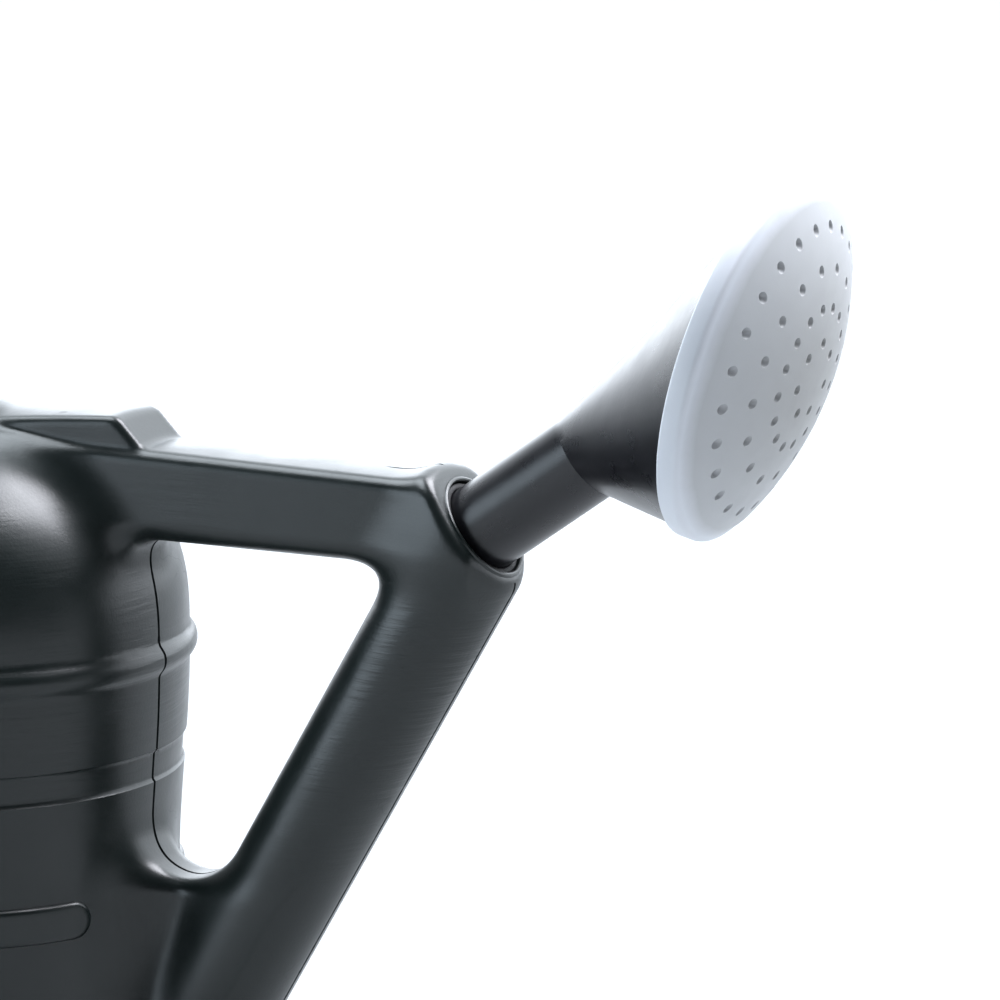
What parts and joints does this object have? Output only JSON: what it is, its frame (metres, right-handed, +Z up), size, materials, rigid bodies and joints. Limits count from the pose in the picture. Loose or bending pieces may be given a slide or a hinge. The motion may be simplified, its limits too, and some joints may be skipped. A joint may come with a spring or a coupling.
{
  "type": "watering can",
  "caption": "Round plastic watering can with a steep spout, brace bar, hoop handle, open slanted filler mouth and a plug-in rose whose drilled face snaps off.",
  "frame": {"origin": "centre of the base on the tank's axis, in the plane of the foot ring", "axes": "+X from the tank to the spout and rose, +Z up along the tank's axis, +Y to the can's left"},
  "size_m": [0.5299, 0.186, 0.4385],
  "materials": {
    "can": "dark green blow-moulded polyethylene, satin with faint ripples",
    "rose": "black injection-moulded plastic, smooth and fairly glossy",
    "face": "white frosted plastic, slightly translucent at its rim",
    "seal": "black rubber ring"
  },
  "bodies": {
    "can": {"tank_base": "can", "tank_wall_lower": "can", "tank_wall_upper": "can", "tank_shoulder": "can", "filler_rim": "can", "spout_tube": "can", "spout_mouth": "can", "spout_web": "can", "brace_bar": "can", "handle_block": "can", "handle_grip": "can", "handle_leg": "can"},
    "seal": {"neck_seal": "seal"},
    "rose": {"rose_neck": "rose", "rose_funnel": "rose"},
    "face": {"rose_face": "face"}
  },
  "joints": [
    {"name": "rose_pull", "type": "slide", "parent": "can", "child": "seal", "axis": [0.8124, 0, 0.5831], "range_m": [0, 0.03]},
    {"name": "rose_turn", "type": "hinge", "parent": "seal", "child": "rose", "pos_m": [0.226, 0, 0.3034], "axis": [0.8124, 0, 0.5831], "continuous": true},
    {"name": "face_snap", "type": "slide", "parent": "rose", "child": "face", "axis": [0.9668, 0, -0.2554], "range_m": [0, 0.025]}
  ]
}
